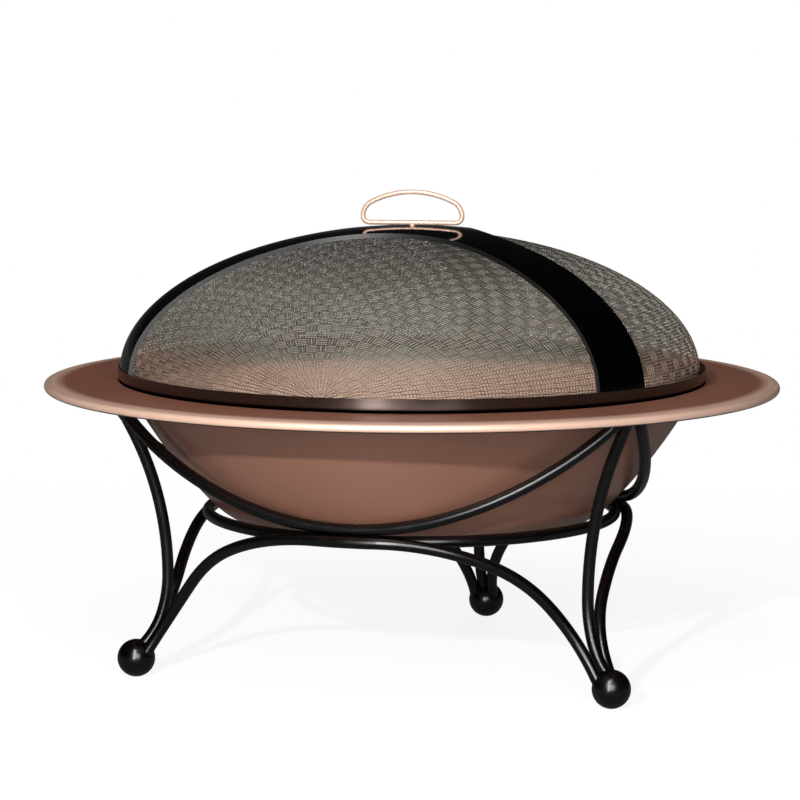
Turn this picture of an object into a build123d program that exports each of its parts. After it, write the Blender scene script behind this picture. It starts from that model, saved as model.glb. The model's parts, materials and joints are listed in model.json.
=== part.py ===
from build123d import *
from math import atan2, cos, degrees, radians, sin, sqrt
import os

# Fire pit: a copper bowl with a wide rolled flange, carried by a stand of bent
# rods on three ball feet.  A log grate lies in the bowl, and a domed spark
# screen with three channel straps and a lifting handle stands on the flange.
#
# Millimetres, +Z up.  The origin is on the ground under the bowl's axis.
# The middle of the front panel of the stand faces -Y.

# ---------------------------------------------------------------- dimensions
# Bowl
rim_radius = 508.0             # outside of the rolled rim, 40 in across
flange_height = 405.0          # top of the flange above the ground
sheet = 1.6                    # copper sheet
bead_radius = 5.75             # rolled rim, outside
bead_curl = 285.0              # how far the rim is rolled round, in degrees
crown_drop = 1.0               # fall of the flange's outer edge
crown_width = 30.0             # width of the flange that falls
mouth_radius = 399.0           # where the wall meets the flange, outside
lip_radius = 8.0               # bend between wall and flange
base_radius = 183.0            # flat of the bowl's base
bowl_depth = 206.8             # from the flange's top to the underside of the base
knuckle_radius = 138.0         # bend between base and wall, outside
wall_slope = 46.5              # slope of the wall above that bend, in degrees
bowl_clearance = 0.3           # between the bowl and what carries it
rim_wire_clearance = 0.15      # between the rolled rim and its wire

# Stand
rod_diameter = 16.0            # 5/8 in round bar
weld_gap = 0.05                # between rods that lie side by side
hoop_radius = 283.0            # centre line
ball_diameter = 52.0           # feet
foot_radius = 387.6            # ball centres from the axis
waist_radius = 343.0           # leg at its narrowest
waist_height = 141.0
leg_low = (352.0, 86.0)        # radius and height where the foot bend starts
leg_foot = (379.0, 43.0)       # radius and height where the leg meets its ball
leg_high = (393.0, 58.0)       # radius and depth under the flange of its last bend
leg_top_radius = 421.0
cradle_low = (24.0, 21.6, 18.4)        # from mid-panel: degrees, out, up
cradle_high = (55.5, 406.9, 34.1)      # from mid-panel: degrees, radius, under the flange
arch_crown = 8.5                       # degrees that the arch follows the hoop
arch_shoulder = (37.2, 307.6, 31.7)    # from mid-panel: degrees, radius, under the hoop
arch_haunch = (50.5, 323.4, 84.1)
arch_foot = (370.3, 43.5)              # radius and height
arch_foot_offset = 14.0                # from the leg's plane
rod_run_out = 14.0             # straight end that a cope trims

# Log grate
grate_rod = 12.0
grate_radius = 215.0           # centre line of its ring
grate_height = 68.0            # underside of the ring above the bowl's floor
grate_bar_pitch = 56.0
grate_bar_count = 7
grate_leg_count = 4
grate_leg_radius = 168.0       # where the legs stand
grate_seat_gap = 0.05

# Spark screen
screen_radius = 406.0          # outside of the base band
band_height = 18.5
band_sheet = 1.5
band_ledge = 12.0              # inward leg of the band
strap_radius = 404.3           # outside of the straps at the band
strap_rise = 198.0             # height of their curve
strap_width = 84.0
strap_sheet = 2.0
strap_depth = 6.3              # depth of the turned-down sides
hub_fillet = 250.0             # between one strap and the next
spring_line = 13.0             # straight foot of the dome above the flange
mesh_sheet = 1.5
mesh_openings = 12             # across the dome, each way
mesh_rib = 12.0                # between two openings
mesh_hem = 8.0                 # whole mesh above the straight foot
seat_gap = 0.1                 # between pieces of the screen

# Handle
handle_width = 144.0
handle_height = 49.0
handle_rod = 6.6
handle_corner = 9.0            # centre line of the lower corners
handle_side = 22.0             # centre line of the arch above them
handle_angle = 11.0            # turned from the X axis, in degrees
stud_diameter = 8.0
stud_rise = 1.2                # handle above the hub
bolt_diameter = 6.0
spacer_diameter = 14.0
bolt_hole = 6.4
washer_diameter = 18.0
washer_thickness = 1.6
nut_across_flats = 10.0
nut_thickness = 5.0
bolt_end = 3.0                 # thread past the nut

# ------------------------------------------------------------ derived values
rod_radius = rod_diameter / 2
rod_pitch = rod_diameter + weld_gap
flange_under = flange_height - sheet
base_height = flange_height - bowl_depth
leg_top_height = flange_under - bowl_clearance

# The wall's bend ends where the cradle rods touch it.
contact_radius = base_radius + knuckle_radius * sin(radians(wall_slope))
contact_height = base_height + knuckle_radius * (1 - cos(radians(wall_slope)))
cradle_stand_off = rod_radius + bowl_clearance
cradle_radius = contact_radius + cradle_stand_off * sin(radians(wall_slope))
cradle_height = contact_height - cradle_stand_off * cos(radians(wall_slope))
hoop_height = cradle_height - sqrt(rod_pitch**2 - (cradle_radius - hoop_radius) ** 2)
arch_radius = hoop_radius + rod_pitch

leg_angles = {"back": 90.0, "front_left": 210.0, "front_right": 330.0}
panel_angles = {"front": 270.0, "right": 30.0, "left": 150.0}
half_panel = 60.0

# The wall is one arc from that bend to the mouth, in line with the bend.
wall_run = mouth_radius - contact_radius
wall_climb = flange_under - contact_height
wall_lean = wall_climb * cos(radians(wall_slope)) - wall_run * sin(radians(wall_slope))
wall_radius = (wall_run**2 + wall_climb**2) / (2 * wall_lean)
wall_centre_radius = contact_radius - wall_radius * sin(radians(wall_slope))
wall_centre_height = contact_height + wall_radius * cos(radians(wall_slope))
mouth_inner_radius = wall_centre_radius + sqrt(
    (wall_radius - sheet) ** 2 - (flange_height - wall_centre_height) ** 2
)

# Rolled rim: an arc of large radius brings the flange down into the bead.
bead_height = flange_height - crown_drop - bead_radius
bead_centre_radius = rim_radius - bead_radius
crown_start = rim_radius - crown_width
crown_run = bead_centre_radius - crown_start
crown_radius = (crown_run**2 + 2 * bead_radius * crown_drop + crown_drop**2) / (2 * crown_drop)
crown_angle = degrees(atan2(crown_radius - crown_drop - bead_radius, crown_run))

grate_floor = base_height + sheet + bowl_clearance
grate_ring_height = grate_floor + grate_height + grate_rod / 2
grate_bar_height = grate_ring_height + grate_rod + grate_seat_gap

screen_base = flange_height + bowl_clearance
dome_foot = screen_base + band_sheet + seat_gap
spring_height = flange_height + spring_line
mesh_radius = strap_radius - strap_depth - seat_gap
mesh_rise = strap_rise - strap_depth - seat_gap
strap_top = spring_height + strap_rise
mesh_under = spring_height + mesh_rise - mesh_sheet
mesh_slice = 2 * mesh_radius / mesh_openings
mesh_fan = 180.0 / mesh_openings
mesh_eye = washer_diameter + 2 * mesh_rib

# ------------------------------------------------------------------- helpers


def around(angle, radius, height):
    """Point at an angle about the axis, a radius from it and a height."""
    return Vector(radius * cos(radians(angle)), radius * sin(radians(angle)), height)


def upright_plane(angle):
    """Plane through the axis: its x runs outwards at that angle, its y up."""
    return Plane(origin=(0, 0, 0), x_dir=around(angle, 1, 0), z_dir=around(angle - 90, 1, 0))


def export(part, name):
    """Label one finished piece and write it to its own STEP file."""
    part.label = name
    export_step(part, f"parts/{name}.step")


os.makedirs("parts", exist_ok=True)

# ---------------------------------------------------------------------- bowl
# One sheet from the base to the rolled rim: its underside, then its upper side.
crown_centre = (crown_start, flange_height - crown_radius)
bead_centre = (bead_centre_radius, bead_height)
with BuildPart() as bowl:
    with BuildSketch(Plane.XZ) as bowl_section:
        with BuildLine():
            base = Line((0, base_height), (base_radius, base_height))
            knuckle = TangentArc(base @ 1, (contact_radius, contact_height), tangent=(1, 0))
            wall = TangentArc(knuckle @ 1, (mouth_radius, flange_under), tangent=knuckle % 1)
            flange = Line(wall @ 1, (crown_start, flange_under))
            crown = CenterArc(crown_centre, crown_radius - sheet, 90, crown_angle - 90)
            bead = CenterArc(bead_centre, bead_radius - sheet, crown_angle, -bead_curl)

            base_top = Line((0, base_height + sheet), (base_radius, base_height + sheet))
            knuckle_top = CenterArc(
                (base_radius, base_height + knuckle_radius),
                knuckle_radius - sheet,
                -90,
                wall_slope,
            )
            wall_top = TangentArc(
                knuckle_top @ 1,
                (mouth_inner_radius, flange_height),
                tangent=knuckle_top % 1,
            )
            flange_top = Line(wall_top @ 1, (crown_start, flange_height))
            crown_top = CenterArc(crown_centre, crown_radius, 90, crown_angle - 90)
            bead_top = CenterArc(bead_centre, bead_radius, crown_angle, -bead_curl)
            Line(bead @ 1, bead_top @ 1)
            Line(base @ 0, base_top @ 0)
        make_face()
        corners = bowl_section.vertices()
        fillet(corners.sort_by_distance((mouth_radius, flange_under))[0], radius=lip_radius)
        corners = bowl_section.vertices()
        fillet(
            corners.sort_by_distance((mouth_inner_radius, flange_height))[0],
            radius=lip_radius + sheet,
        )
    revolve(axis=Axis.Z)
export(bowl.part, "bowl")

# The wire that stiffens the rolled rim.
with BuildPart() as rim_wire:
    with BuildSketch(Plane.XZ):
        with Locations((bead_centre_radius, bead_height)):
            Circle(bead_radius - sheet - rim_wire_clearance)
    revolve(axis=Axis.Z)
export(rim_wire.part, "rim_wire")

# --------------------------------------------------------------------- stand
feet = {}
for side, angle in leg_angles.items():
    with BuildPart() as ball_foot:
        with Locations(around(angle, foot_radius, ball_diameter / 2)):
            Sphere(ball_diameter / 2)
    feet[side] = ball_foot
    export(ball_foot.part, f"ball_foot_{side}")

with BuildPart() as hoop:
    with BuildSketch(Plane.XZ):
        with Locations((hoop_radius, hoop_height)):
            Circle(rod_radius)
    revolve(axis=Axis.Z)
export(hoop.part, "hoop")

# Each leg bends in one upright plane: it flares from the ball, narrows at the
# waist and runs out again to the flange.
legs = {}
for side, angle in leg_angles.items():
    with BuildPart() as leg_rod:
        with BuildLine(upright_plane(angle)) as leg_path:
            waist = (waist_radius, waist_height)
            bend = (leg_high[0], flange_height - leg_high[1])
            upper = TangentArc(waist, bend, tangent=(0, 1))
            top = TangentArc(bend, (leg_top_radius, leg_top_height), tangent=upper % 1)
            top_end = Line(top @ 1, (top @ 1) + (top % 1) * rod_run_out)
            lower = TangentArc(waist, leg_low, tangent=(0, -1))
            foot = TangentArc(leg_low, leg_foot, tangent=lower % 1)
        with BuildSketch(Plane(origin=leg_path.wire() @ 0, z_dir=leg_path.wire() % 0)):
            Circle(rod_radius)
        sweep(path=leg_path.wire())
        split(bisect_by=Plane.XY.offset(leg_top_height), keep=Keep.BOTTOM)
        add(feet[side].part, mode=Mode.SUBTRACT)
    legs[side] = leg_rod
    export(leg_rod.part, f"leg_rod_{side}")

# Between two legs, a cradle rod dips under the bowl and an arch rod rises to
# the hoop.  Both are bent in space, from mid-panel outwards, in tangent arcs.
for side, middle in panel_angles.items():
    with BuildPart() as cradle_rod:
        with BuildLine() as cradle_path:
            for turn in (1, -1):
                leg_angle = middle + turn * half_panel
                low_angle, low_out, low_up = cradle_low
                high_angle, high_radius, high_depth = cradle_high
                rest = around(middle, cradle_radius, cradle_height)
                low = around(
                    middle + turn * low_angle,
                    cradle_radius + low_out,
                    cradle_height + low_up,
                )
                high = around(
                    middle + turn * high_angle,
                    high_radius,
                    flange_height - high_depth,
                )
                beside_leg = around(leg_angle - turn * 90, rod_pitch, 0)
                top = around(leg_angle, leg_top_radius, leg_top_height) + beside_leg
                dip = TangentArc(rest, low, tangent=around(middle + turn * 90, 1, 0))
                rise = TangentArc(low, high, tangent=dip % 1)
                close = TangentArc(high, top, tangent=rise % 1)
                Line(top, top + (close % 1) * rod_run_out)
        path = cradle_path.wire()
        with BuildSketch(Plane(origin=path @ 0, z_dir=path % 0)):
            Circle(rod_radius)
        sweep(path=path)
        split(bisect_by=Plane.XY.offset(leg_top_height), keep=Keep.BOTTOM)
        for leg_rod in legs.values():
            add(leg_rod.part, mode=Mode.SUBTRACT)
    export(cradle_rod.part, f"cradle_rod_{side}")

    with BuildPart() as arch_rod:
        with BuildLine() as arch_path:
            for turn in (1, -1):
                leg_angle = middle + turn * half_panel
                crown = around(middle, arch_radius, hoop_height)
                leave = around(middle + turn * arch_crown, arch_radius, hoop_height)
                shoulder_angle, shoulder_radius, shoulder_drop = arch_shoulder
                shoulder = around(
                    middle + turn * shoulder_angle,
                    shoulder_radius,
                    hoop_height - shoulder_drop,
                )
                haunch_angle, haunch_radius, haunch_drop = arch_haunch
                haunch = around(
                    middle + turn * haunch_angle,
                    haunch_radius,
                    hoop_height - haunch_drop,
                )
                beside_leg = around(leg_angle - turn * 90, arch_foot_offset, 0)
                toe = around(leg_angle, *arch_foot) + beside_leg
                along = TangentArc(crown, leave, tangent=around(middle + turn * 90, 1, 0))
                fall = TangentArc(leave, shoulder, tangent=along % 1)
                drop = TangentArc(shoulder, haunch, tangent=fall % 1)
                flare = TangentArc(haunch, toe, tangent=drop % 1)
                Line(toe, toe + (flare % 1) * rod_run_out)
        path = arch_path.wire()
        with BuildSketch(Plane(origin=path @ 0, z_dir=path % 0)):
            Circle(rod_radius)
        sweep(path=path)
        for ball_foot in feet.values():
            add(ball_foot.part, mode=Mode.SUBTRACT)
        for leg_rod in legs.values():
            add(leg_rod.part, mode=Mode.SUBTRACT)
    export(arch_rod.part, f"arch_rod_{side}")

# ----------------------------------------------------------------- log grate
with BuildPart() as grate_ring:
    with BuildSketch(Plane.XZ):
        with Locations((grate_radius, grate_ring_height)):
            Circle(grate_rod / 2)
    revolve(axis=Axis.Z)
export(grate_ring.part, "grate_ring")

# A cross bar inside the ring carries the middle of the bars.
cross_plane = Plane.YZ.offset(-grate_radius)
with BuildPart() as grate_cross_bar:
    with BuildSketch(cross_plane):
        with Locations((0, grate_ring_height)):
            Circle(grate_rod / 2)
    extrude(amount=2 * grate_radius)
    add(grate_ring.part, mode=Mode.SUBTRACT)
export(grate_cross_bar.part, "grate_cross_bar")

first_bar = -(grate_bar_count - 1) / 2 * grate_bar_pitch
for number in range(grate_bar_count):
    offset_x = first_bar + number * grate_bar_pitch
    half_length = sqrt((grate_radius + grate_rod / 2) ** 2 - offset_x**2)
    with BuildPart() as grate_bar:
        with BuildSketch(Plane.XZ.offset(-half_length)):
            with Locations((offset_x, grate_bar_height)):
                Circle(grate_rod / 2)
        extrude(amount=2 * half_length)
    export(grate_bar.part, f"grate_bar_{number + 1}")

for number in range(grate_leg_count):
    angle = 45 + number * 360 / grate_leg_count
    with BuildPart() as grate_leg:
        with BuildLine(upright_plane(angle)) as grate_leg_path:
            Line((grate_radius, grate_ring_height), (grate_leg_radius, grate_floor))
        path = grate_leg_path.wire()
        lean = path % 0
        with BuildSketch(Plane(origin=path @ 0, z_dir=lean)):
            Circle(grate_rod / 2)
        extrude(amount=path.length + grate_rod)
        split(bisect_by=Plane.XY.offset(grate_floor), keep=Keep.TOP)
        add(grate_ring.part, mode=Mode.SUBTRACT)
    export(grate_leg.part, f"grate_leg_{number + 1}")

# -------------------------------------------------------------- spark screen
# The band is an angle: an upright strip with a ledge that the dome stands on.
with BuildPart() as base_band:
    with BuildSketch(Plane.XZ):
        with Locations((screen_radius, screen_base)):
            Rectangle(band_sheet, band_height, align=(Align.MAX, Align.MIN))
            Rectangle(band_ledge, band_sheet, align=(Align.MAX, Align.MIN))
    revolve(axis=Axis.Z)
export(base_band.part, "base_band")


def dome_section(radius, rise, depth):
    """Half section of a dome wall on a straight foot, depth mm thick."""
    with BuildSketch(Plane.XZ) as section:
        with BuildLine():
            outer_foot = Line((radius, dome_foot), (radius, spring_height))
            outer = EllipticalCenterArc((0, spring_height), radius, rise, arc_size=90)
            inner = EllipticalCenterArc(
                (0, spring_height),
                radius - depth,
                rise - depth,
                arc_size=90,
            )
            inner_foot = Line((radius - depth, spring_height), (radius - depth, dome_foot))
            Line(outer_foot @ 0, inner_foot @ 1)
            Line(outer @ 1, inner @ 1)
        make_face()
    return section.sketch


def strap_plan(width, fillet_radius):
    """Three arms of one width seen from above, with filleted inner corners."""
    with BuildSketch() as plan:
        for angle in leg_angles.values():
            with Locations(Location((0, 0, 0), (0, 0, angle))):
                Rectangle(screen_radius, width, align=(Align.MIN, Align.CENTER))
        fillet(plan.vertices().sort_by_distance((0, 0))[0:3], radius=fillet_radius)
    return plan.sketch


# The mesh as a plain grid that runs as the weave does: one way in slices across
# the dome, the other way in a fan from the front of its foot to the back.
with BuildSketch() as mesh_wedges:
    with BuildLine():
        arc = CenterArc((0, 0), mesh_radius + mesh_rib, 0, 180)
        Line(arc @ 1, arc @ 0)
    make_face()
    with PolarLocations(
        (mesh_radius + mesh_rib) / 2,
        mesh_openings - 1,
        start_angle=mesh_fan,
        angular_range=180 - 2 * mesh_fan,
        endpoint=True,
    ):
        Rectangle(mesh_radius + 2 * mesh_rib, mesh_rib, mode=Mode.SUBTRACT)

with BuildPart() as mesh_grid:
    for number in range(mesh_openings):
        slice_front = mesh_radius - number * mesh_slice - mesh_rib / 2
        with BuildSketch(Plane.XZ.offset(slice_front)):
            with Locations((0, spring_height + mesh_hem)):
                add(mesh_wedges.sketch)
        extrude(amount=-(mesh_slice - mesh_rib))
    Cylinder(mesh_eye / 2, 2 * strap_top, mode=Mode.SUBTRACT)

with BuildPart() as mesh_dome:
    add(dome_section(mesh_radius, mesh_rise, mesh_sheet))
    revolve(axis=Axis.Z)
    add(mesh_grid.part, mode=Mode.SUBTRACT)
    with Locations((0, 0, mesh_under)):
        Hole(bolt_hole / 2)
export(mesh_dome.part, "mesh_dome")

# What the straps are hollowed by: all under their sheet and between their sides.
with BuildPart() as strap_hollow:
    add(dome_section(strap_radius - strap_sheet, strap_rise - strap_sheet, strap_depth))
    revolve(axis=Axis.Z)
    extrude(
        strap_plan(strap_width - 2 * strap_sheet, hub_fillet + strap_sheet),
        amount=strap_top,
        mode=Mode.INTERSECT,
    )

with BuildPart() as strap_frame:
    add(dome_section(strap_radius, strap_rise, strap_depth))
    revolve(axis=Axis.Z)
    extrude(strap_plan(strap_width, hub_fillet), amount=strap_top, mode=Mode.INTERSECT)
    add(strap_hollow.part, mode=Mode.SUBTRACT)
    with Locations((0, 0, strap_top)):
        Hole(bolt_hole / 2)
export(strap_frame.part, "strap_frame")

# The handle is one ring of wire: a straight bar, two tight corners and a
# three-centred arch over them.
handle_bar_height = strap_top + stud_rise + handle_rod / 2
half_span = (handle_width - handle_rod) / 2
arch_base = handle_bar_height + handle_corner
arch_rise = handle_height - handle_rod - handle_corner
crown_arc = (half_span**2 + arch_rise**2 - 2 * half_span * handle_side) / (
    2 * (arch_rise - handle_side)
)
join_angle = degrees(atan2(crown_arc - arch_rise, half_span - handle_side))
corner_centre = half_span - handle_corner
with BuildPart() as handle:
    with BuildLine(upright_plane(handle_angle)) as handle_path:
        Line((-corner_centre, handle_bar_height), (corner_centre, handle_bar_height))
        CenterArc((corner_centre, arch_base), handle_corner, -90, 90)
        CenterArc((half_span - handle_side, arch_base), handle_side, 0, join_angle)
        CenterArc(
            (0, arch_base + arch_rise - crown_arc),
            crown_arc,
            join_angle,
            180 - 2 * join_angle,
        )
        CenterArc(
            (handle_side - half_span, arch_base),
            handle_side,
            180 - join_angle,
            join_angle,
        )
        CenterArc((-corner_centre, arch_base), handle_corner, 180, 90)
    path = handle_path.wire()
    with BuildSketch(Plane(origin=path @ 0, z_dir=path % 0)):
        Circle(handle_rod / 2)
    sweep(path=path)
export(handle.part, "handle")

# A stud welded under the bar goes through the hub to a nut inside the dome.
washer_top = mesh_under - seat_gap
nut_top = washer_top - washer_thickness
with BuildPart() as handle_stud:
    with BuildSketch(Plane.XY.offset(strap_top)):
        Circle(stud_diameter / 2)
    extrude(amount=stud_rise + handle_rod / 2)
    with BuildSketch(Plane.XY.offset(strap_top)):
        Circle(bolt_diameter / 2)
    extrude(amount=-(strap_top - nut_top + nut_thickness + bolt_end))
    add(handle.part, mode=Mode.SUBTRACT)
export(handle_stud.part, "handle_stud")

# A spacer keeps the hub and the mesh apart when the nut is tightened.
spacer_bottom = mesh_under + mesh_sheet + seat_gap
spacer_top = strap_top - strap_sheet - seat_gap
with BuildPart() as hub_spacer:
    with BuildSketch(Plane.XY.offset(spacer_bottom)):
        Circle(spacer_diameter / 2)
        Circle(bolt_hole / 2, mode=Mode.SUBTRACT)
    extrude(amount=spacer_top - spacer_bottom)
export(hub_spacer.part, "hub_spacer")

with BuildPart() as hub_washer:
    with BuildSketch(Plane.XY.offset(washer_top)):
        Circle(washer_diameter / 2)
        Circle(bolt_hole / 2, mode=Mode.SUBTRACT)
    extrude(amount=-washer_thickness)
export(hub_washer.part, "hub_washer")

with BuildPart() as hub_nut:
    with BuildSketch(Plane.XY.offset(nut_top)):
        RegularPolygon(nut_across_flats / 2, 6, major_radius=False)
        Circle(bolt_diameter / 2 + weld_gap, mode=Mode.SUBTRACT)
    extrude(amount=-nut_thickness)
export(hub_nut.part, "hub_nut")
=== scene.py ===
import json
import logging
import math
from dataclasses import dataclass, replace
from enum import Enum

import bpy
import numpy as np
from mathutils import Matrix, Vector


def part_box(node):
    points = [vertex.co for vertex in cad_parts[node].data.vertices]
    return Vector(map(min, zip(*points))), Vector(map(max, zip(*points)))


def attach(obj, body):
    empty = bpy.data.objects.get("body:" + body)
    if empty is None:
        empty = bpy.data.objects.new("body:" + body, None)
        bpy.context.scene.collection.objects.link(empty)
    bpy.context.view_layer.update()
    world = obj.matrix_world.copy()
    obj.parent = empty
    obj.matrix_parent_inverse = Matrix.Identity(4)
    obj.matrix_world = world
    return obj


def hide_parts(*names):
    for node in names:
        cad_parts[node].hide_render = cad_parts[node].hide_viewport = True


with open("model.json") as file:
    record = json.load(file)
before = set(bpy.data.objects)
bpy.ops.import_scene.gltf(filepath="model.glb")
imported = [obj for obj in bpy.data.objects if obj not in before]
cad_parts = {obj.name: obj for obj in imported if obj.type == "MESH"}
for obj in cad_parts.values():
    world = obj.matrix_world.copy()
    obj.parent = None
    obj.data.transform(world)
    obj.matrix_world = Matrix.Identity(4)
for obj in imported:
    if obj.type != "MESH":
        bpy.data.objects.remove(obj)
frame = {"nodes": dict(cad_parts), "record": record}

# Fire pit: a copper bowl on a black stand of bent rods, with a log grate and a
# domed spark screen of woven wire.  Metres, +Z up, in the frame's own place.

LOG = logging.getLogger("fire_pit")
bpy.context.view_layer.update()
MM = 0.001
# Mesh layer of painted shade on the wires: their height in the weave, less on each wire's sides.
WEAVE_SHADE_LAYER = "weave_shade_level"
BLACK = (0.0, 0.0, 0.0, 1.0)
WHITE = (1.0, 1.0, 1.0, 1.0)
NOISE_MIDDLE = 0.5
NOISE_SPAN = (0.3, 0.7)

Colour = tuple[float, float, float]
Point = tuple[float, float, float]
Span = tuple[float, float]
Socket = bpy.types.NodeSocket
Level = Socket | float
Tint = Socket | tuple[float, float, float, float]
Materials = dict[str, bpy.types.Material]


class Half(Enum):
    """Halves of the woven dome."""

    FRONT = "front"
    BACK = "back"
    RIGHT = "right"
    LEFT = "left"


class Nodes:
    """A material's or world's node tree, built one node at a time."""

    def __init__(self, owner: bpy.types.Material | bpy.types.World, output: str = "OutputMaterial") -> None:
        """Empty the owner's tree and give it an output.

        Args:
            owner: the material or world that is built.
            output: the output node's type after "ShaderNode".
        """
        owner.use_nodes = True
        self.owner = owner
        self.tree = owner.node_tree
        self.tree.nodes.clear()
        self.output = self.add(output)

    @classmethod
    def for_material(cls, name: str) -> "Nodes":
        """Start a new material of that name."""
        return cls(bpy.data.materials.new(name))

    def add(self, kind: str, inputs: dict | None = None, **settings: object) -> bpy.types.Node:
        """Add a node.

        Args:
            kind: the node's type after "ShaderNode".
            inputs: values or sockets for its inputs, by name or index.
            **settings: the node's own properties.

        Returns:
            The new node.
        """
        node = self.tree.nodes.new("ShaderNode" + kind)
        for key, value in settings.items():
            setattr(node, key, value)
        for key, value in (inputs or {}).items():
            if isinstance(value, Socket):
                self.tree.links.new(value, node.inputs[key])
            else:
                node.inputs[key].default_value = value
        return node

    def math(self, operation: str, a: Level, b: Level = 0.0) -> Socket:
        """Combine two values with a Math node and return its output."""
        return self.add("Math", {0: a, 1: b}, operation=operation).outputs[0]

    def ramp(self, value: Socket, stops: list[tuple]) -> Socket:
        """Turn a value into a colour.

        Args:
            value: the socket that drives the ramp.
            stops: place and colour of each stop, from low to high.

        Returns:
            The ramp's colour socket.
        """
        node = self.add("ValToRGB", {"Fac": value})
        elements = node.color_ramp.elements
        while len(elements) < len(stops):
            elements.new(0.5)
        for element, (place, colour) in zip(elements, stops):
            element.position = place
            element.color = (*colour, 1.0)
        return node.outputs["Color"]

    def grey_ramp(self, value: Socket, low: tuple[Level, Level], high: tuple[Level, Level]) -> Socket:
        """Run a value from one level to another.

        Args:
            value: the socket that drives it.
            low: place and level where it starts.
            high: place and level where it ends.

        Returns:
            The level's socket.
        """
        places = {"From Min": low[0], "From Max": high[0]}
        levels = {"To Min": low[1], "To Max": high[1]}
        return self.add("MapRange", {"Value": value, **places, **levels}).outputs["Result"]

    def rise(self, value: Socket, start: float, end: float) -> Socket:
        """Return 0 up to the start and 1 from the end on, with a straight rise between."""
        return self.grey_ramp(value, (start, 0.0), (end, 1.0))

    def step(self, value: Socket, place: float, blend: float) -> Socket:
        """Return 0 below a place and 1 above it, blended over a short way on either side."""
        return self.rise(value, place - blend, place + blend)

    def between(self, share: Socket, low: Level, high: Level) -> Socket:
        """Return the first level where the share is 0 and the second where it is 1."""
        return self.grey_ramp(share, (0.0, low), (1.0, high))

    def inverse(self, share: Socket) -> Socket:
        """Return 1 less the share."""
        return self.math("SUBTRACT", 1.0, share)

    def mix(self, share: Socket, low: Tint, high: Tint) -> Socket:
        """Mix two colours.

        Args:
            share: 0 for the first colour, 1 for the second.
            low: the first colour, or its socket.
            high: the second colour, or its socket.

        Returns:
            The mixed colour's socket.
        """
        node = self.add("MixRGB", {"Fac": share, "Color1": low, "Color2": high})
        return node.outputs["Color"]

    def place(self) -> Socket:
        """Return the Object coordinates socket."""
        return self.add("TexCoord").outputs["Object"]

    def height(self) -> Socket:
        """Return the height above the ground."""
        return self.add("SeparateXYZ", {"Vector": self.place()}).outputs[2]

    def radius(self) -> Socket:
        """Measure how far out a point is.

        Returns:
            The distance from the upright axis.
        """
        place = self.add("SeparateXYZ", {"Vector": self.place()}).outputs
        squares = [self.math("MULTIPLY", value, value) for value in (place[0], place[1])]
        return self.math("SQRT", self.math("ADD", *squares))

    def upward(self) -> Socket:
        """Return how far the surface faces up, from -1 to 1."""
        normal = self.add("NewGeometry").outputs["Normal"]
        return self.add("SeparateXYZ", {"Vector": normal}).outputs[2]

    def background_rays(self) -> Socket:
        """Find the rays that see the background: direct, mirrored or through glass.

        Returns:
            1 for those rays, 0 for the rays that light the object.
        """
        path = self.add("LightPath").outputs
        seen = self.math("MAXIMUM", path["Is Camera Ray"], path["Is Glossy Ray"])
        return self.math("MAXIMUM", seen, path["Is Transmission Ray"])

    def noise(self, scale: float, detail: float, vector: Socket | None = None) -> Socket:
        """Add a noise pattern and return its value."""
        inputs = {"Vector": vector or self.place(), "Scale": scale, "Detail": detail}
        return self.add("TexNoise", inputs).outputs["Fac"]

    def satin(self, scale: float, detail: float, roughness: Span) -> Socket:
        """Vary the roughness in soft patches.

        Args:
            scale: scale of the patches, per metre.
            detail: how fine the noise gets.
            roughness: lowest and highest roughness.

        Returns:
            The roughness's socket.
        """
        low, high = zip(NOISE_SPAN, roughness)
        return self.grey_ramp(self.noise(scale, detail), low, high)

    def bump(self, height: Socket, depth: float) -> Socket:
        """Turn a height pattern into a normal, depth in metres."""
        node = self.add("Bump", {"Strength": 1.0, "Distance": depth, "Height": height})
        return node.outputs["Normal"]

    def finish(self, shader: bpy.types.Node) -> bpy.types.Material | bpy.types.World:
        """Link the shader to the output and return the finished material or world."""
        self.tree.links.new(shader.outputs[0], self.output.inputs["Surface"])
        return self.owner


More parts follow.
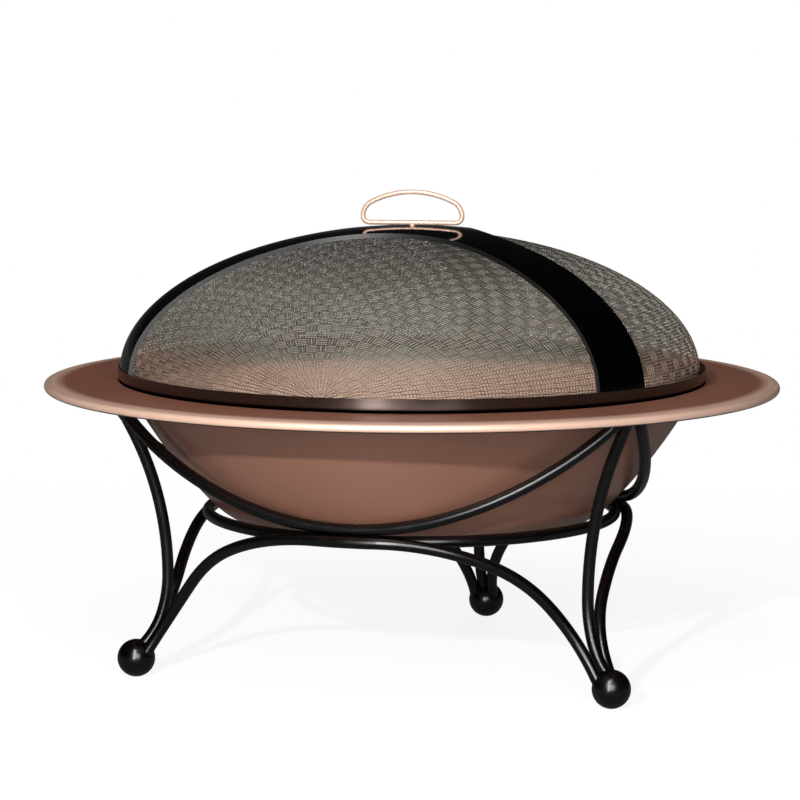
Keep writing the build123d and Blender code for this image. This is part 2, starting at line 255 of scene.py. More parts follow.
@dataclass(frozen=True)
class Copper:
    """Spun copper sheet, satin and a little aged, with painted light on its inside, a painted highlight on
    its rolled rim and painted shade under the rim and at the neck.

    Attributes:
        name: the material's name.
        clean: colour of the underside where it is bright.
        aged: colour of the underside where it has darkened.
        inside: colour of the inside, painted light: far brighter than the copper outside.
        flange: colour of the flange's weathered top.
        rolled: colour of the rolled rim, a pale painted highlight.
        rim_shade: colour of the painted shade under the rolled rim.
        neck_shade: colour of the painted shade on the ring inside the bowl under the screen's foot.
        mouth: radius where the inside ends and the flange starts.
        neck: height above which the inside takes that painted shade.
        bead: radius where the rolled rim starts.
        tarnish_metal: share of bare metal in the tarnish.
        bead_metal: share of bare metal on the rolled rim.
        lacquer: weight of the clear lacquer.
        flange_lacquer: what is left of it on the flange and inside.
        lacquer_roughness: its roughness.
        roughness: the copper's lowest and highest roughness.
        bead_roughness: roughness of the rolled rim.
        ring_depth: depth of the spinning marks.
        ring_scale: scale of the spinning marks, per metre.
        cloud_scale: scale of the aged patches, per metre.
        satin_scale: scale on which the roughness varies, per metre.
        cloud_span: part of the aged pattern over which aged turns to clean.
        top_span: how far up a surface faces where it starts to be a top, and where it is one.
        rim_shade_span: how far up the rolled rim faces where the painted shade starts, and where it is full.
        blend: half the way over which the inside, its painted neck shade and the flange blend.
        bead_blend: half the way over which the flange and the rolled rim blend.
        rim_highlight_width: width of the flange's edge that takes the painted highlight too.
        rim_highlight_strength: how strong that painted highlight is at the rolled rim, as a share.
    """

    name: str
    clean: Colour
    aged: Colour
    inside: Colour
    flange: Colour
    rolled: Colour
    rim_shade: Colour
    neck_shade: Colour
    mouth: float
    neck: float
    bead: float
    tarnish_metal: float
    bead_metal: float
    lacquer: float
    flange_lacquer: float
    lacquer_roughness: float
    roughness: Span
    bead_roughness: float
    ring_depth: float
    ring_scale: float = 420.0
    cloud_scale: float = 4.5
    satin_scale: float = 9.0
    cloud_span: Span = (0.30, 0.68)
    top_span: Span = (0.02, 0.12)
    rim_shade_span: Span = (-0.50, -0.75)
    blend: float = 4 * MM
    bead_blend: float = 3 * MM
    rim_highlight_width: float = 18 * MM
    rim_highlight_strength: float = 0.8

    def spinning_marks(self, n: Nodes, out: Socket) -> Socket:
        """Return the normal of the fine rings that run round the axis."""
        section = n.add("CombineXYZ", {"X": out, "Z": n.height()}).outputs[0]
        return n.bump(n.noise(self.ring_scale, detail=2.0, vector=section), self.ring_depth)

    def top_colour(self, n: Nodes, out: Socket, is_outer: Socket) -> Socket:
        """Colour the inside with its painted light and painted neck shade, and the flange's top with its
        painted edge highlight.

        Args:
            n: the material's nodes.
            out: distance from the axis.
            is_outer: 1 on the flange, 0 inside.

        Returns:
            The colour's socket.
        """
        # Painted shade: the inside darkens above the neck height, under the screen's foot.
        is_neck = n.step(n.height(), self.neck, self.blend)
        # Painted light: the inside colour is painted far brighter than the copper outside.
        inside = n.mix(is_neck, (*self.inside, 1.0), (*self.neck_shade, 1.0))
        # Painted highlight: the flange's outer edge fades into the rim's pale highlight colour.
        is_rim_highlight = n.grey_ramp(out, (self.bead - self.rim_highlight_width, 0.0), (self.bead, self.rim_highlight_strength))
        flange = n.mix(is_rim_highlight, (*self.flange, 1.0), (*self.rolled, 1.0))
        return n.mix(is_outer, inside, flange)

    def material(self) -> bpy.types.Material:
        """Build the copper's material.

        Returns:
            The material.
        """
        n = Nodes.for_material(self.name)
        out, upward = n.radius(), n.upward()
        is_top = n.rise(upward, *self.top_span)
        is_outer = n.step(out, self.mouth, self.blend)
        is_bead = n.step(out, self.bead, self.bead_blend)
        # Painted shade on the underside of the rolled rim, where it faces down.
        is_rim_shade = n.rise(upward, *self.rim_shade_span)
        clouds = n.noise(self.cloud_scale, detail=5.0)
        under = n.ramp(clouds, list(zip(self.cloud_span, (self.aged, self.clean))))
        sheet = n.mix(is_top, under, self.top_colour(n, out, is_outer))
        # The rolled rim: its painted highlight, turning to painted shade where it faces down.
        rolled = n.mix(is_rim_shade, (*self.rolled, 1.0), (*self.rim_shade, 1.0))
        is_inside = n.math("MULTIPLY", is_top, n.inverse(is_outer))
        tarnish = n.math("MULTIPLY", n.inverse(is_inside), self.tarnish_metal)
        satin = n.satin(self.satin_scale, detail=4.0, roughness=self.roughness)
        is_flat = n.math("MULTIPLY", is_top, n.inverse(is_bead))
        shader = n.add("BsdfPrincipled", {
            # The rolled rim takes its painted highlight colour.
            "Base Color": n.mix(is_bead, sheet, rolled),
            "Metallic": n.math("MAXIMUM", tarnish, n.math("MULTIPLY", is_bead, self.bead_metal)),
            "Roughness": n.between(is_bead, satin, self.bead_roughness),
            "Coat Weight": n.between(is_flat, self.lacquer, self.flange_lacquer),
            "Coat Roughness": self.lacquer_roughness,
            "Normal": self.spinning_marks(n, out),
        })
        return n.finish(shader)


@dataclass(frozen=True)
class Enamel:
    """Stoved paint on steel, from gloss to matt.

    Attributes:
        name: the material's name.
        colour: the paint's colour.
        dusty: colour where a little dust or wear lightens it.
        roughness: its lowest and highest roughness.
        gloss: specular level.
        peel: depth of the paint's orange peel.
        foot: height up to which it is black and matt as painted shade, or 0 for none.
        sheen: tint of what it mirrors.
        dust_scale: scale of the dusty patches, per metre.
        dust_span: part of the dusty pattern over which the dust comes in.
        satin_scale: scale on which the roughness varies, per metre.
        peel_scale: scale of the orange peel, per metre.
        foot_blend: half the way over which the painted shade at the foot ends.
    """

    name: str
    colour: Colour
    dusty: Colour
    roughness: Span
    gloss: float
    peel: float
    foot: float = 0.0
    sheen: Colour = (1.0, 1.0, 1.0)
    dust_scale: float = 14.0
    dust_span: Span = (0.45, 0.80)
    satin_scale: float = 30.0
    peel_scale: float = 260.0
    foot_blend: float = 1.5 * MM

    def material(self) -> bpy.types.Material:
        """Build the paint's material.

        Returns:
            The material.
        """
        n = Nodes.for_material(self.name)
        dust = n.noise(self.dust_scale, detail=5.0)
        colour = n.ramp(dust, list(zip(self.dust_span, (self.colour, self.dusty))))
        gloss = self.gloss
        # Painted shade: below the foot height the paint turns black and loses its gloss.
        if self.foot:
            above = n.step(n.height(), self.foot, self.foot_blend)
            colour = n.mix(above, BLACK, colour)
            gloss = n.math("MULTIPLY", above, gloss)
        shader = n.add("BsdfPrincipled", {
            "Base Color": colour,
            "Roughness": n.satin(self.satin_scale, detail=3.0, roughness=self.roughness),
            "Specular IOR Level": gloss,
            "Specular Tint": (*self.sheen, 1.0),
            "Normal": n.bump(n.noise(self.peel_scale, detail=2.0), self.peel),
        })
        return n.finish(shader)


@dataclass(frozen=True)
class StrapPaint:
    """Black gloss on the straps, duller on their cut edges.

    Attributes:
        name: the material's name.
        colour: the paint's colour.
        roughness: roughness of the faces.
        gloss: specular level of the faces.
        edge_roughness: roughness of the cut edges.
        edge_gloss: specular level of the cut edges.
        centre: height of the dome's centre.
        flatness: the dome's rise over its radius.
        edge_cosine: how far an edge faces outwards at most.
        face_cosine: how far a face faces outwards at least.
    """

    name: str
    colour: Colour
    roughness: float
    gloss: float
    edge_roughness: float
    edge_gloss: float
    centre: float
    flatness: float
    edge_cosine: float = 0.45
    face_cosine: float = 0.75

    def facing(self, n: Nodes) -> Socket:
        """Compare the surface's normal with the dome's own.

        Args:
            n: the material's nodes.

        Returns:
            The cosine between them, 1 on a strap's faces and 0 on its cut edges.
        """
        squash = (1.0, 1.0, 1.0 / self.flatness**2)
        moved = n.add("VectorMath", {0: n.place(), 1: (0.0, 0.0, self.centre)}, operation="SUBTRACT")
        scaled = n.add("VectorMath", {0: moved.outputs[0], 1: squash}, operation="MULTIPLY")
        out = n.add("VectorMath", {0: scaled.outputs[0]}, operation="NORMALIZE")
        normal = n.add("NewGeometry").outputs["Normal"]
        cosine = n.add("VectorMath", {0: out.outputs[0], 1: normal}, operation="DOT_PRODUCT")
        return n.math("ABSOLUTE", cosine.outputs["Value"])

    def material(self) -> bpy.types.Material:
        """Build the paint's material.

        Returns:
            The material.
        """
        n = Nodes.for_material(self.name)
        is_face = n.rise(self.facing(n), self.edge_cosine, self.face_cosine)
        shader = n.add("BsdfPrincipled", {
            "Base Color": (*self.colour, 1.0),
            "Roughness": n.between(is_face, self.edge_roughness, self.roughness),
            "Specular IOR Level": n.between(is_face, self.edge_gloss, self.gloss),
        })
        return n.finish(shader)


@dataclass(frozen=True)
class PlainMetal:
    """Bare or plated steel, such as wire, washers and nuts.

    Attributes:
        name: the material's name.
        colour: the metal's colour.
        dull: colour where it is oxidised.
        metallic: share of metal under the oxide.
        roughness: its roughness.
        grain: scale of its oxidised patches, per metre.
        oxide_span: part of their pattern over which dull turns to bare.
        fine_grain: scale of its surface marks, as a multiple of the grain.
        mark_depth: depth of those marks.
    """

    name: str
    colour: Colour
    dull: Colour
    metallic: float
    roughness: float
    grain: float
    oxide_span: Span = (0.35, 0.65)
    fine_grain: float = 30.0
    mark_depth: float = 0.03 * MM

    def material(self) -> bpy.types.Material:
        """Build the metal's material.

        Returns:
            The material.
        """
        n = Nodes.for_material(self.name)
        oxide = n.noise(self.grain, detail=4.0)
        shader = n.add("BsdfPrincipled", {
            "Base Color": n.ramp(oxide, list(zip(self.oxide_span, (self.dull, self.colour)))),
            "Metallic": self.metallic,
            "Roughness": self.roughness,
            "Normal": n.bump(n.noise(self.grain * self.fine_grain, detail=2.0), self.mark_depth),
        })
        return n.finish(shader)


@dataclass(frozen=True)
class WovenWire:
    """Drawn wire, with painted shade where it dips under the others and along its sides.

    Its colour runs with height: painted light from the lit copper tans it low down, and painted shade
    darkens it at the top.

    Attributes:
        name: the material's name.
        heights: the screen's height from low to high, in metres.
        painted_height_shades: share of that height and the wire's colour there, from painted light low down
            to painted shade at the top.
        under_shade: brightness of the painted shade where it dips under the others, as a share.
        metallic: share of metal under the oxide.
        roughness: its roughness.
        shade_span_in_weave: level in the weave layer at which the painted shade is full, and at which it is
            gone.
        wear_scale: scale of the random patches in which the painted shade varies, per metre.
        wear: how far it varies.
        mark_scale: scale of its drawing marks, per metre.
        mark_depth: depth of those marks.
    """

    name: str
    heights: Span
    painted_height_shades: tuple[tuple[float, Colour], ...]
    under_shade: float
    metallic: float
    roughness: float
    shade_span_in_weave: Span = (0.25, 0.75)
    wear_scale: float = 25.0
    wear: float = 0.5
    mark_scale: float = 900.0
    mark_depth: float = 0.02 * MM

    def material(self) -> bpy.types.Material:
        """Build the wire's material, which reads the piece's own weave layer of painted shade.

        Returns:
            The material.
        """
        n = Nodes.for_material(self.name)
        # Painted shade: wires that pass under, and every wire's sides, are darkened through the weave layer.
        woven = n.add("Attribute", attribute_name=WEAVE_SHADE_LAYER).outputs["Fac"]
        patches = n.math("SUBTRACT", n.noise(self.wear_scale, detail=4.0), NOISE_MIDDLE)
        patchy_shade_level = n.math("ADD", woven, n.math("MULTIPLY", patches, self.wear))
        dark, bright = zip(self.shade_span_in_weave, (self.under_shade, 1.0))
        # Painted light and shade by height: tan low down for the lit copper below, dark at the top.
        crown = n.ramp(n.rise(n.height(), *self.heights), list(self.painted_height_shades))
        colour = n.add("VectorMath", {0: crown, "Scale": n.grey_ramp(patchy_shade_level, dark, bright)}, operation="SCALE")
        shader = n.add("BsdfPrincipled", {
            "Base Color": colour.outputs["Vector"],
            "Metallic": self.metallic,
            "Roughness": self.roughness,
            "Normal": n.bump(n.noise(self.mark_scale, detail=2.0), self.mark_depth),
        })
        return n.finish(shader)


Finish = Copper | Enamel | StrapPaint | PlainMetal | WovenWire

BOWL_COPPER = Copper(
    "bowl_copper",
    clean=(0.31, 0.145, 0.096),
    aged=(0.27, 0.125, 0.082),
    # Painted light: the inside's colour is far brighter than the outside's.
    inside=(0.74, 0.50, 0.39),
    flange=(0.285, 0.112, 0.072),
    # Painted highlight: the rolled rim's pale colour.
    rolled=(0.86, 0.56, 0.43),
    # Painted shade under the rolled rim.
    rim_shade=(0.02, 0.01, 0.007),
    # Painted shade on the inside of the neck.
    neck_shade=(0.16, 0.13, 0.10),
    mouth=401.0 * MM,
    neck=389.0 * MM,
    bead=496.5 * MM,
    tarnish_metal=0.15,
    bead_metal=0.35,
    lacquer=0.45,
    flange_lacquer=0.05,
    lacquer_roughness=0.04,
    roughness=(0.38, 0.47),
    bead_roughness=0.48,
    ring_depth=0.02 * MM,
)
HANDLE_COPPER = PlainMetal(
    "handle_copper", colour=(0.82, 0.54, 0.42), dull=(0.74, 0.47, 0.36), metallic=0.30, roughness=0.40,
    grain=40.0,
)
STAND_BLACK = Enamel(
    "stand_black", colour=(0.0006, 0.0006, 0.0006), dusty=(0.001, 0.001, 0.001), roughness=(0.22, 0.29),
    gloss=0.70, peel=0.01 * MM,
)
STRAP_BLACK = StrapPaint(
    "strap_black", colour=(0.0006, 0.0006, 0.0006), roughness=0.06, gloss=0.10, edge_roughness=0.45,
    edge_gloss=0.9, centre=421.0 * MM, flatness=0.60,
)
# Its black foot is painted shade along the band's lower edge.
BAND_BRONZE = Enamel(
    "band_bronze", colour=(0.009, 0.004, 0.003), dusty=(0.014, 0.006, 0.004), roughness=(0.18, 0.25),
    gloss=1.0, peel=0.02 * MM, foot=410.3 * MM, sheen=(1.0, 0.76, 0.68),
)
GRATE_BLACK = Enamel(
    "grate_black", colour=(0.014, 0.013, 0.012), dusty=(0.050, 0.036, 0.028), roughness=(0.59, 0.66),
    gloss=0.30, peel=0.12 * MM,
)
MESH_WIRE = WovenWire(
    "mesh_wire",
    heights=(0.42, 0.66),
    # Painted light: the lowest colour stands for the lit copper below; painted shade: the highest darkens
    # the top.
    painted_height_shades=(
        (0.12, (0.37, 0.255, 0.189)),
        (0.235, (0.255, 0.230, 0.186)),
        (0.50, (0.280, 0.258, 0.213)),
        (0.85, (0.040, 0.037, 0.032)),
    ),
    # Painted shade on wires where they pass under.
    under_shade=0.45,
    metallic=0.30,
    roughness=0.52,
)
PLAIN_STEEL = PlainMetal(
    "plain_steel", colour=(0.62, 0.62, 0.62), dull=(0.45, 0.45, 0.46), metallic=1.0, roughness=0.30,
    grain=60.0,
)


def dress(node: str, finish: Finish, made: Materials) -> None:
    """Give a CAD node its finish.

    Args:
        node: the CAD node's name.
        finish: the finish it takes.
        made: materials made so far, by name, so that each is made once.
    """
    material = made.get(finish.name) or made.setdefault(finish.name, finish.material())
    slots = frame["nodes"][node].data.materials
    slots.clear()
    slots.append(material)
    LOG.info("dressed %s in %s", node, finish.name)


@dataclass
class WovenDome:
    """The screen's woven wire, formed over the dome.

    Wires run in two families.  The hoops lie in upright planes from side to
    side.  The long wires run from the foot of the front panel over the dome to
    the foot of the back, and some end where they crowd.  They pass over and
    under each other in bundles.

    Attributes:
        spring: height where the dome's curve starts.
        radius: outside of the dome at its foot.
        rise: height of the curve.
        pitch: distance from wire to wire.
        bundle: number of wires that pass over together.
        wire_width: width of a wire along the surface.
        wire_depth: thickness of a wire.
        under_share: width of a wire where it passes under, as a share.
        thinnest: width under which a wire ends, as a share.
        pole_share: width of a hoop at a pole, as a share.
        skin: gap from the wires to the dome's outside.
        foot_gap: gap from the lowest wire to the dome's foot.
        hub_hole: radius that is clear of wire round the stud.
        side_shade: how much darker a wire's sides and underside are painted than its crown, as painted
            shade.
        bundle_run: where a crossing wire starts and ends its pass over a bundle, as shares.
        pole_sine: sine of the angle inside which the poles count as one.
        middle_wire: number that stands for the first long wire, which never ends.
        samples: number of steps in which the middle section is measured.
    """

    spring: float
    radius: float
    rise: float
    pitch: float = 4.6 * MM
    bundle: int = 4
    wire_width: float = 3.2 * MM
    wire_depth: float = 0.60 * MM
    under_share: float = 0.60
    thinnest: float = 0.04
    pole_share: float = 0.35
    skin: float = 0.03 * MM
    foot_gap: float = 0.6 * MM
    hub_hole: float = 3.4 * MM
    side_shade: float = 0.9
    bundle_run: Span = (0.24, 0.76)
    pole_sine: float = 0.004
    middle_wire: int = 256
    samples: int = 4000

    def surface(self, along: np.ndarray, across: np.ndarray) -> tuple[np.ndarray, np.ndarray]:
        """Find points on the dome's middle surface.

        Args:
            along: angle from the front pole to the back pole.
            across: angle from the right foot over the top to the left foot.

        Returns:
            The points and the outward normals there.
        """
        mid = self.wire_depth + self.skin
        wide, tall = self.radius - mid, self.rise - mid
        points = np.stack([
            wide * np.sin(along) * np.cos(across),
            -wide * np.cos(along),
            tall * np.sin(along) * np.sin(across),
        ], -1)
        normals = points / np.array([wide**2, wide**2, tall**2])
        normals /= np.linalg.norm(normals, axis=-1, keepdims=True)
        points[..., 2] += self.spring
        return points, normals

    def across_angles(self) -> np.ndarray:
        """Space the long wires evenly along the middle section.

        Returns:
            Their angles from the right foot.
        """
        fine = np.linspace(0.0, math.pi, self.samples + 1)
        run = np.hypot(self.radius * np.sin(fine), self.rise * np.cos(fine))
        length = np.concatenate([[0.0], np.cumsum((run[1:] + run[:-1]) / 2 * np.diff(fine))])
        count = round(length[-1] / self.pitch / self.bundle) * self.bundle
        return np.interp((np.arange(count) + 0.5) / count * length[-1], length, fine)

    def along_angles(self) -> np.ndarray:
        """Space the hoops evenly along the foot and return their angles from the front pole."""
        count = round(math.pi * self.radius / self.pitch / self.bundle) * self.bundle
        return (np.arange(count) + 0.5) / count * math.pi

    def stations(self, angles: np.ndarray) -> tuple[np.ndarray, np.ndarray]:
        """Place a crossing wire's points, two for each bundle that it passes.

        Args:
            angles: angles of the wires that it crosses.

        Returns:
            The angles of the points, and the number of the bundle of each.
        """
        count = len(angles) // self.bundle
        edges = np.interp(np.arange(count + 1) * self.bundle - 0.5, np.arange(len(angles)), angles)
        edges[0], edges[-1] = 0.0, math.pi
        step = np.diff(edges)
        points = np.stack([edges[:-1] + share * step for share in self.bundle_run], 1)
        return points.ravel(), np.repeat(np.arange(count), 2)

    def tube(self, points: np.ndarray, normals: np.ndarray, share: np.ndarray) -> tuple[np.ndarray, list]:
        """Make one wire with a diamond section and closed ends.

        Args:
            points: the wire's centre line.
            normals: the dome's normals along it.
            share: its width at each point, as a share of a whole wire.

        Returns:
            The corner points and the faces of the wire.
        """
        way = np.gradient(points, axis=0)
        side = np.cross(way, normals)
        side /= np.linalg.norm(side, axis=-1, keepdims=True)
        half_width = share[:, None] * self.wire_width / 2
        half_depth = np.sqrt(share)[:, None] * self.wire_depth / 2
        ring = np.stack([
            points + side * half_width, points + normals * half_depth,
            points - side * half_width, points - normals * half_depth,
        ], 1)
        last = len(points) - 1
        faces = [(4 * k + j, 4 * k + (j + 1) % 4, 4 * k + 4 + (j + 1) % 4, 4 * k + 4 + j)
                 for k in range(last) for j in range(4)]
        faces += [(3, 2, 1, 0), tuple(4 * last + j for j in range(4))]
        return ring.reshape(-1, 3), faces

    def piece(self, name: str, wires: list[tuple[np.ndarray, ...]]) -> bpy.types.Object:
        """Join wires into one piece.

        Args:
            name: the piece's name.
            wires: centre line, normals, height in the weave and width of each wire.

        Returns:
            The new piece, in place.
        """
        corners, faces, heights, count = [], [], [], 0
        # Painted shade: the weave layer drops on each wire's sides and underside.
        side_shade_drop = self.side_shade * np.array([1.0, 0.0, 1.0, 1.0])
        for points, normals, over, share in wires:
            ring, quads = self.tube(points, normals, share)
            corners.append(ring)
            heights.append((over[:, None] - side_shade_drop).ravel().astype(np.float32))
            faces += [tuple(count + v for v in quad) for quad in quads]
            count += len(ring)
        mesh = bpy.data.meshes.new(name)
        mesh.from_pydata(np.concatenate(corners).tolist(), [], faces)
        layer = mesh.attributes.new(WEAVE_SHADE_LAYER, "FLOAT", "POINT")
        layer.data.foreach_set("value", np.concatenate(heights))
        mesh.shade_smooth()
        piece = bpy.data.objects.new(name, mesh)
        bpy.context.scene.collection.objects.link(piece)
        return piece

    def wire(self, along: np.ndarray, across: np.ndarray, over: np.ndarray, share: np.ndarray) -> list:
        """Lay one wire on the dome, over or under at each point.

        Args:
            along: angles of its points from the front pole.
            across: angles of its points from the right foot.
            over: True where it passes over.
            share: its width at each point, as a share of a whole wire.

        Returns:
            The wire in its runs, each a centre line with its normals, heights and widths.
        """
        points, normals = self.surface(along, across)
        lift = np.where(over, 1.0, -1.0) * self.wire_depth / 2
        points = points + normals * lift[:, None]
        clear = np.hypot(points[:, 0], points[:, 1]) > self.hub_hole + self.wire_width
        clear &= (points[:, 2] > self.spring + self.foot_gap) & (share > self.thinnest)
        share = share * np.where(over, 1.0, self.under_share)
        runs, start = [], None
        for index, free in enumerate([*clear, False]):
            if free and start is None:
                start = index
            if not free and start is not None:
                if index - start > 1:
                    run = slice(start, index)
                    runs.append((points[run], normals[run], over[run], share[run]))
                start = None
        return runs

    def thinning(self, along: np.ndarray) -> np.ndarray:
        """Return how many long wires stand for one: 1 in the middle, doubling towards a pole."""
        return 2 ** np.floor(np.log2(1.0 / np.maximum(np.sin(along), self.pole_sine))).astype(int)

    def hoops(self) -> list[bpy.types.Object]:
        """Build the wires that run from side to side.

        Returns:
            A front and a back piece.
        """
        places, bundles = self.stations(self.across_angles())
        angles = self.along_angles()
        halves = {Half.FRONT: [], Half.BACK: []}
        for number, angle in enumerate(angles):
            groups = bundles // self.thinning(angle)
            over = (groups + number // self.bundle) % 2 == 1
            share = np.full(len(places), min(1.0, self.pole_share + math.sin(angle)))
            half = Half.FRONT if 2 * number < len(angles) else Half.BACK
            halves[half] += self.wire(np.full_like(places, angle), places, over, share)
        return [self.piece(f"screen_wire_hoops_{half.value}", wires) for half, wires in halves.items()]

    def long_wires(self) -> list[bpy.types.Object]:
        """Build the wires that run from front to back, each thinner where they crowd.

        Returns:
            A right and a left piece.
        """
        places, bundles = self.stations(self.along_angles())
        angles = self.across_angles()
        halves = {Half.RIGHT: [], Half.LEFT: []}
        for number, angle in enumerate(angles):
            # Each time the room halves, every other wire ends, and it thins on the way there.
            doublings = (number & -number) if number else self.middle_wire
            share = np.clip(2.0 * np.sin(places) * doublings - 1.0, 0.0, 1.0)
            groups = number // (self.bundle * self.thinning(places))
            over = (bundles + groups) % 2 == 0
            half = Half.RIGHT if 2 * number < len(angles) else Half.LEFT
            halves[half] += self.wire(places, np.full_like(places, angle), over, share)
        return [self.piece(f"screen_wire_long_{half.value}", wires) for half, wires in halves.items()]


@dataclass
class SparkScreen:
    """The spark screen: band, straps, woven dome and lifting handle.

    Attributes:
        body: the body that its pieces ride on.
        ledge: height of the dome's spring over the band's foot.
    """

    body: str = "screen"
    ledge: float = 12.7 * MM

    def build(self, made: Materials) -> None:
        """Weave the dome and dress the rest of the screen.

        Args:
            made: materials made so far, by name.
        """
        dress("base_band", BAND_BRONZE, made)
        dress("strap_frame", STRAP_BLACK, made)
        for node in ("handle", "handle_stud"):
            dress(node, HANDLE_COPPER, made)
        for node in ("hub_spacer", "hub_washer", "hub_nut"):
            dress(node, PLAIN_STEEL, made)
        dress("mesh_dome", MESH_WIRE, made)
        self.weave(made[MESH_WIRE.name])

    def weave(self, material: bpy.types.Material) -> None:
        """Build the woven wire that stands in for the plain dome.

        Args:
            material: the wire's material.
        """
        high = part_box("mesh_dome")[1]
        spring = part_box("base_band")[0].z + self.ledge
        dome = WovenDome(spring=spring, radius=high.x, rise=high.z - spring)
        for piece in dome.hoops() + dome.long_wires():
            # Two layers of wire would otherwise darken what lies under the screen.
            piece.visible_shadow = False
            piece.visible_diffuse = False
            piece.data.materials.append(material)
            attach(piece, self.body)
            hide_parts("mesh_dome")
            LOG.info("wove %s: %d faces", piece.name, len(piece.data.polygons))


@dataclass
class Bowl:
    """The copper bowl with its rolled rim.

    Attributes:
        body: the body that its pieces ride on.
    """

    body: str = "bowl"

    def build(self, made: Materials) -> None:
        """Dress the bowl and the wire in its rim."""
        dress("bowl", BOWL_COPPER, made)
        dress("rim_wire", PLAIN_STEEL, made)


@dataclass
class Stand:
    """The stand of bent rods on ball feet.

    Attributes:
        body: the body that its pieces ride on.
    """

    body: str = "stand"

    def build(self, made: Materials) -> None:
        """Dress every rod and ball."""
        for node in frame["record"]["behaviour"]["bodies"][self.body]:
            dress(node, STAND_BLACK, made)


@dataclass
class LogGrate:
    """The loose grate that keeps the logs off the bowl's floor.

    Attributes:
        body: the body that its pieces ride on.
    """

    body: str = "log_grate"

    def build(self, made: Materials) -> None:
        """Dress the ring, bars and legs."""
        for node in frame["record"]["behaviour"]["bodies"][self.body]:
            dress(node, GRATE_BLACK, made)


@dataclass(frozen=True)
class Softbox:
    """One soft lamp.

    Attributes:
        name: the lamp's name.
        place: where it stands.
        size: width and height.
        power: its power, in watts.
        lights: whether it lights matt surfaces.
        mirrored: whether glossy surfaces mirror it.
    """

    name: str
    place: Point
    size: tuple[float, float]
    power: float
    lights: bool = True
    mirrored: bool = True

    def build(self, aim: Vector) -> None:
        """Make the lamp and point it.

        Args:
            aim: the point it faces.
        """
        data = bpy.data.lights.new(self.name, "AREA")
        data.shape = "RECTANGLE"
        data.size, data.size_y = self.size
        data.energy = self.power
        lamp = bpy.data.objects.new(self.name, data)
        bpy.context.scene.collection.objects.link(lamp)
        lamp.visible_diffuse = self.lights
        lamp.visible_glossy = self.mirrored
        lamp.location = self.place
        lamp.rotation_euler = (aim - lamp.location).to_track_quat("-Z", "Y").to_euler()


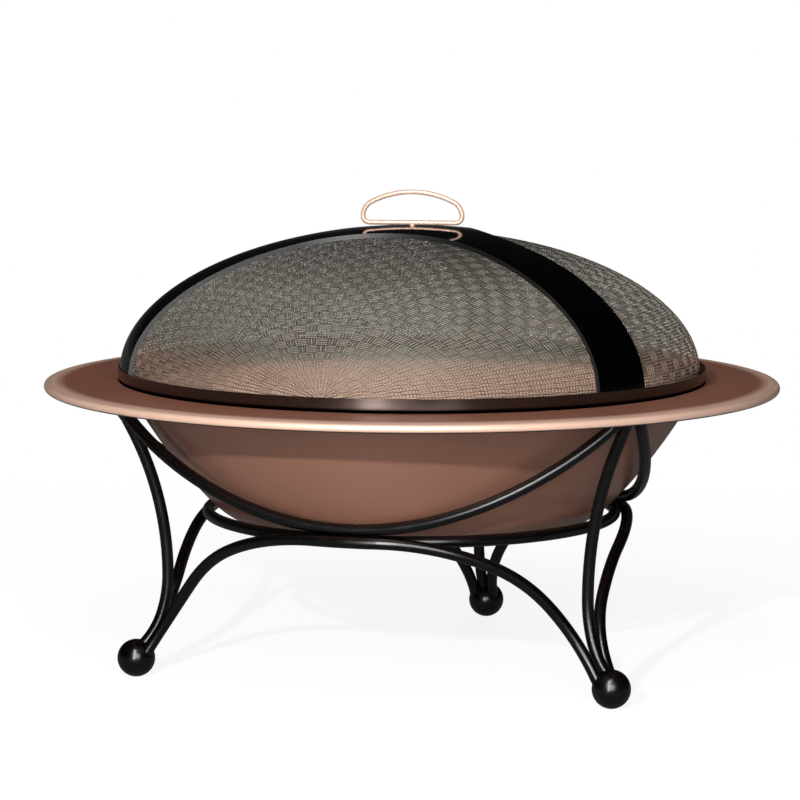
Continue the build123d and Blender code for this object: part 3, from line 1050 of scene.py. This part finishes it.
@dataclass
class Studio:
    """Floor, lamps, world and camera.

    Attributes:
        azimuth: how far camera and lamps are turned about the upright axis, in degrees.
        distance: distance of the camera from the axis.
        height: height of the camera.
        yaw: how far it looks to the right, in degrees.
        pitch: how far it looks down, in degrees.
        roll: how far it is tilted, in degrees.
        lens: its focal length, in millimetres.
        sensor: its sensor's width, in millimetres.
        clip: nearest and farthest distance that it shows.
        aim: the point that the lamps face.
        floor_size: side of the floor.
        floor_bounce: how much light the floor throws back.
        floor_glow: the floor's own light for the camera.
        floor_shade: what lamp light and shadow add to it.
        fade: distances from the axis where the floor starts to fade and is plain white.
        mirrored_glow: the floor's own light for mirrored rays.
        mirrored_shade: what lamp light and shadow add to that.
        backdrop: the mirrored backdrop's level by height, from the horizon up.
        soft_light: strength of the world's light on the object.
        lamps: the lamps, before the turn.
    """

    azimuth: float = 17.08
    distance: float = 4.53019
    height: float = 0.92411
    yaw: float = -0.20709
    pitch: float = 6.92621
    roll: float = 0.18339
    lens: float = 147.82
    sensor: float = 36.0
    clip: Span = (0.1, 100.0)
    aim: Point = (0.0, 0.0, 0.35)
    floor_size: float = 60.0
    floor_bounce: float = 0.58
    floor_glow: float = 0.87
    floor_shade: float = 0.22
    fade: Span = (0.9, 2.0)
    mirrored_glow: float = 0.08
    mirrored_shade: float = 0.06
    backdrop: tuple[Span, ...] = ((0.0, 0.10), (0.05, 0.05), (0.15, 0.012), (1.0, 0.012))
    soft_light: float = 0.12
    lamps: tuple[Softbox, ...] = (
        Softbox("key", (0.35, -3.40, 1.30), (1.4, 1.8), 50.0),
        Softbox("strip", (-0.79, -3.30, 1.76), (0.6, 3.72), 118.0, lights=False),
        Softbox("lantern", (-0.93, -3.48, 1.58), (0.09, 0.09), 104.0, mirrored=False),
        Softbox("top", (-0.20, -1.80, 2.90), (1.2, 1.2), 26.0),
        Softbox("rear", (0.60, 3.40, 1.00), (1.6, 1.2), 36.0, mirrored=False),
    )

    def floor(self) -> None:
        """Lay a pale floor that takes the shadow."""
        bpy.ops.object.select_all(action="DESELECT")
        bpy.ops.mesh.primitive_plane_add(size=self.floor_size, location=(0, 0, 0))
        plane = bpy.context.object
        plane.name = "floor"
        plane.data.materials.append(self.floor_material())

    def floor_material(self) -> bpy.types.Material:
        """Build the floor's material: grey to lamp light, glowing near white to what sees it.

        Returns:
            The material.
        """
        n = Nodes.for_material("floor")
        mirrored = n.add("LightPath").outputs["Is Glossy Ray"]
        glow = n.between(mirrored, self.floor_glow, self.mirrored_glow)
        shade = n.between(mirrored, self.floor_shade, self.mirrored_shade)
        near = n.add("AddShader", {
            0: n.add("Emission", {"Color": WHITE, "Strength": glow}).outputs[0],
            1: n.add("BsdfDiffuse", {"Color": shade}).outputs[0],
        })
        far_glow = n.between(mirrored, 1.0, self.mirrored_glow)
        far = n.add("Emission", {"Color": WHITE, "Strength": far_glow})
        farness = n.rise(n.radius(), *self.fade)
        shown = n.add("MixShader", {0: farness, 1: near.outputs[0], 2: far.outputs[0]})
        grey = self.floor_bounce
        bounce = n.add("BsdfDiffuse", {"Color": (grey, grey, grey, 1.0)})
        seen_or_lit = {0: n.background_rays(), 1: bounce.outputs[0], 2: shown.outputs[0]}
        return n.finish(n.add("MixShader", seen_or_lit))

    def world(self) -> None:
        """Make a white background that lights the object softly and mirrors as a dim room."""
        world = bpy.data.worlds.new("studio")
        bpy.context.scene.world = world
        n = Nodes(world, "OutputWorld")
        up = n.add("SeparateXYZ", {"Vector": n.add("TexCoord").outputs["Generated"]}).outputs["Z"]
        room = n.ramp(up, [(height, (level, level, level)) for height, level in self.backdrop])
        direct = n.add("LightPath").outputs["Is Camera Ray"]
        seen = n.add("Background", {"Color": n.mix(direct, room, WHITE), "Strength": 1.0})
        soft = n.add("Background", {"Strength": self.soft_light})
        seen_or_lit = {0: n.background_rays(), 1: soft.outputs[0], 2: seen.outputs[0]}
        n.finish(n.add("MixShader", seen_or_lit))

    def camera(self) -> None:
        """Stand the camera in front, a little to the right, and make it the scene's."""
        yaw, pitch, roll = (math.radians(v) for v in (self.yaw, self.pitch, self.roll))
        upright = Vector((0.0, 0.0, 1.0))
        level = Vector((math.sin(yaw), math.cos(yaw), 0.0))
        right = Vector((math.cos(yaw), -math.sin(yaw), 0.0))
        ahead = level * math.cos(pitch) - upright * math.sin(pitch)
        up = upright * math.cos(pitch) + level * math.sin(pitch)
        tilted = right * math.cos(roll) + up * math.sin(roll)
        top = up * math.cos(roll) - right * math.sin(roll)
        axes = Matrix((tilted, top, -ahead)).transposed().to_4x4()
        data = bpy.data.cameras.new("camera")
        data.lens = self.lens
        data.sensor_width = self.sensor
        data.clip_start, data.clip_end = self.clip
        camera = bpy.data.objects.new("camera", data)
        bpy.context.scene.collection.objects.link(camera)
        camera.matrix_world = self.turn() @ Matrix.Translation((0, -self.distance, self.height)) @ axes
        bpy.context.scene.camera = camera

    def turn(self) -> Matrix:
        """Return the turn of camera and lamps about the upright axis."""
        return Matrix.Rotation(math.radians(self.azimuth), 4, "Z")

    def build(self) -> None:
        """Set up the whole studio."""
        self.camera()
        self.floor()
        self.world()
        for lamp in self.lamps:
            replace(lamp, place=tuple(self.turn() @ Vector(lamp.place))).build(Vector(self.aim))
        bpy.context.scene.view_settings.view_transform = "Standard"


def main() -> None:
    """Build the studio and every sub-assembly."""
    logging.basicConfig(level=logging.INFO, format="%(message)s")
    Studio().build()
    made: Materials = {}
    for part in (Stand(), Bowl(), LogGrate(), SparkScreen()):
        part.build(made)
        LOG.info("finished the %s", part.body)


if __name__ == "__main__":
    main()
